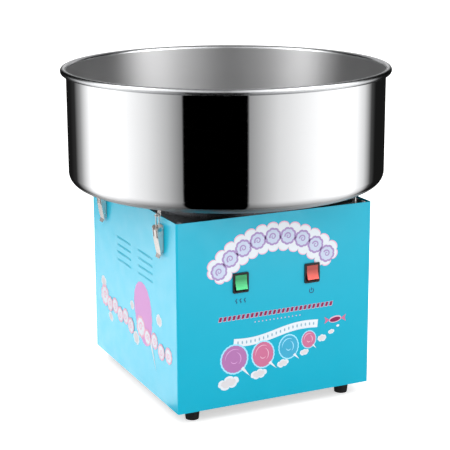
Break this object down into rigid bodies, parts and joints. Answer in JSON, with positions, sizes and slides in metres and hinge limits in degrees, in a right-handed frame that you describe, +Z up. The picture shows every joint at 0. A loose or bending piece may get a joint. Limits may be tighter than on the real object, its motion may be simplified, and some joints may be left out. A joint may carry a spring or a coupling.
{
  "type": "cotton candy machine",
  "caption": "Countertop cotton candy machine: painted steel cabinet, lift-off stainless bowl held by toggle latches, heated spinner head.",
  "frame": {"origin": "centre of the footprint at floor level, under the bowl's axis", "axes": "+Z is up. The switch panel faces -Y. +X is on the right of a person who faces the switch panel, so the green heater switch is at -X and the red power switch at +X."},
  "size_m": [0.52, 0.52, 0.515],
  "materials": {
    "cabinet_paint": "satin powder coat, light turquoise blue",
    "deck_steel": "polished stainless sheet",
    "zinc_plate": "bright zinc plate",
    "foot_rubber": "matt black rubber",
    "black_plastic": "moulded, slight gloss",
    "green_lens": "glossy translucent green",
    "red_lens": "glossy translucent red",
    "contact_brass": "plain brass",
    "latch_chrome": "bright nickel-chrome plate",
    "bowl_steel": "stainless, mirror polished outside, satin inside",
    "head_aluminium": "spun and machined aluminium",
    "heating_ribbon": "oxidised resistance ribbon",
    "ceramic_posts": "unglazed ceramic",
    "spindle_steel": "ground steel",
    "brown_insulator": "phenolic resin",
    "core_steel": "laminated steel",
    "winding_copper": "varnished copper winding",
    "motor_paint": "dark grey enamel",
    "carbon": "graphite",
    "cream_plastic": "moulded",
    "wire_jacket": "flexible jacket"
  },
  "bodies": {
    "cabinet": {"cabinet_shell": "cabinet_paint", "rear_panel": "cabinet_paint", "top_plate": "deck_steel", "base_plate": "zinc_plate", "panel_screws": "zinc_plate", "foot_front_left": "foot_rubber", "foot_front_right": "foot_rubber", "foot_rear_left": "foot_rubber", "foot_rear_right": "foot_rubber", "frame_bolts": "zinc_plate", "bowl_seat": "deck_steel", "bowl_gasket": "foot_rubber", "heater_switch_housing": "black_plastic", "power_switch_housing": "black_plastic", "switch_terminals": "contact_brass", "latch_base_front_left": "latch_chrome", "latch_base_front_right": "latch_chrome", "latch_base_rear_left": "latch_chrome", "latch_base_rear_right": "latch_chrome", "latch_pins": "zinc_plate", "latch_rivets": "zinc_plate", "motor_housing": "motor_paint", "stator": "winding_copper", "motor_end_bells": "motor_paint", "bearings": "spindle_steel", "motor_bracket": "zinc_plate", "motor_dampers": "foot_rubber", "brush_holder": "black_plastic", "carbon_brushes": "carbon", "terminal_block": "cream_plastic", "cord_gland": "black_plastic", "wiring": "wire_jacket"},
    "bowl": {"bowl": "bowl_steel", "catch_rivets": "zinc_plate", "bowl_catch_front_left": "latch_chrome", "bowl_catch_front_right": "latch_chrome", "bowl_catch_rear_left": "latch_chrome", "bowl_catch_rear_right": "latch_chrome"},
    "spinner": {"spinner_base": "head_aluminium", "spinner_band": "head_aluminium", "spinner_cap": "head_aluminium", "sugar_pan": "head_aluminium", "heater_coil": "heating_ribbon", "heater_insulators": "ceramic_posts", "head_fasteners": "zinc_plate", "spindle": "spindle_steel", "slip_ring_insulator": "brown_insulator", "slip_rings": "contact_brass", "rotor": "core_steel"},
    "heater_rocker": {"heater_rocker": "green_lens"},
    "power_rocker": {"power_rocker": "red_lens"},
    "lever_front_left": {"latch_lever_front_left": "latch_chrome"},
    "loop_front_left": {"latch_loop_front_left": "latch_chrome"},
    "lever_front_right": {"latch_lever_front_right": "latch_chrome"},
    "loop_front_right": {"latch_loop_front_right": "latch_chrome"},
    "lever_rear_left": {"latch_lever_rear_left": "latch_chrome"},
    "loop_rear_left": {"latch_loop_rear_left": "latch_chrome"},
    "lever_rear_right": {"latch_lever_rear_right": "latch_chrome"},
    "loop_rear_right": {"latch_loop_rear_right": "latch_chrome"}
  },
  "joints": [
    {"name": "spinner_spin", "type": "hinge", "parent": "cabinet", "child": "spinner", "pos_m": [0, 0, 0.2], "axis": [0, 0, 1], "continuous": true},
    {"name": "heater_rocker_tilt", "type": "hinge", "parent": "cabinet", "child": "heater_rocker", "pos_m": [-0.0605, -0.173, 0.213], "axis": [1, 0, 0], "range_deg": [0, 20]},
    {"name": "power_rocker_tilt", "type": "hinge", "parent": "cabinet", "child": "power_rocker", "pos_m": [0.0605, -0.173, 0.213], "axis": [1, 0, 0], "range_deg": [0, 20]},
    {"name": "bowl_lift", "type": "slide", "parent": "cabinet", "child": "bowl", "axis": [0, 0, 1], "range_m": [0, 0.24]},
    {"name": "lever_front_left_open", "type": "hinge", "parent": "cabinet", "child": "lever_front_left", "pos_m": [-0.171, -0.121, 0.296], "axis": [0, 1, 0], "range_deg": [0, 120]},
    {"name": "loop_front_left_swing", "type": "hinge", "parent": "lever_front_left", "child": "loop_front_left", "pos_m": [-0.1695, -0.121, 0.287], "axis": [0, 1, 0], "range_deg": [-120, 0]},
    {"name": "lever_front_right_open", "type": "hinge", "parent": "cabinet", "child": "lever_front_right", "pos_m": [0.171, -0.121, 0.296], "axis": [0, -1, 0], "range_deg": [0, 120]},
    {"name": "loop_front_right_swing", "type": "hinge", "parent": "lever_front_right", "child": "loop_front_right", "pos_m": [0.1695, -0.121, 0.287], "axis": [0, -1, 0], "range_deg": [-120, 0]},
    {"name": "lever_rear_left_open", "type": "hinge", "parent": "cabinet", "child": "lever_rear_left", "pos_m": [-0.171, 0.121, 0.296], "axis": [0, 1, 0], "range_deg": [0, 120]},
    {"name": "loop_rear_left_swing", "type": "hinge", "parent": "lever_rear_left", "child": "loop_rear_left", "pos_m": [-0.1695, 0.121, 0.287], "axis": [0, 1, 0], "range_deg": [-120, 0]},
    {"name": "lever_rear_right_open", "type": "hinge", "parent": "cabinet", "child": "lever_rear_right", "pos_m": [0.171, 0.121, 0.296], "axis": [0, -1, 0], "range_deg": [0, 120]},
    {"name": "loop_rear_right_swing", "type": "hinge", "parent": "lever_rear_right", "child": "loop_rear_right", "pos_m": [0.1695, 0.121, 0.287], "axis": [0, -1, 0], "range_deg": [-120, 0]}
  ],
  "couplings": [
    {"joint": "loop_front_left_swing", "follows": "lever_front_left_open", "ratio": -1},
    {"joint": "loop_front_right_swing", "follows": "lever_front_right_open", "ratio": -1},
    {"joint": "loop_rear_left_swing", "follows": "lever_rear_left_open", "ratio": -1},
    {"joint": "loop_rear_right_swing", "follows": "lever_rear_right_open", "ratio": -1}
  ]
}
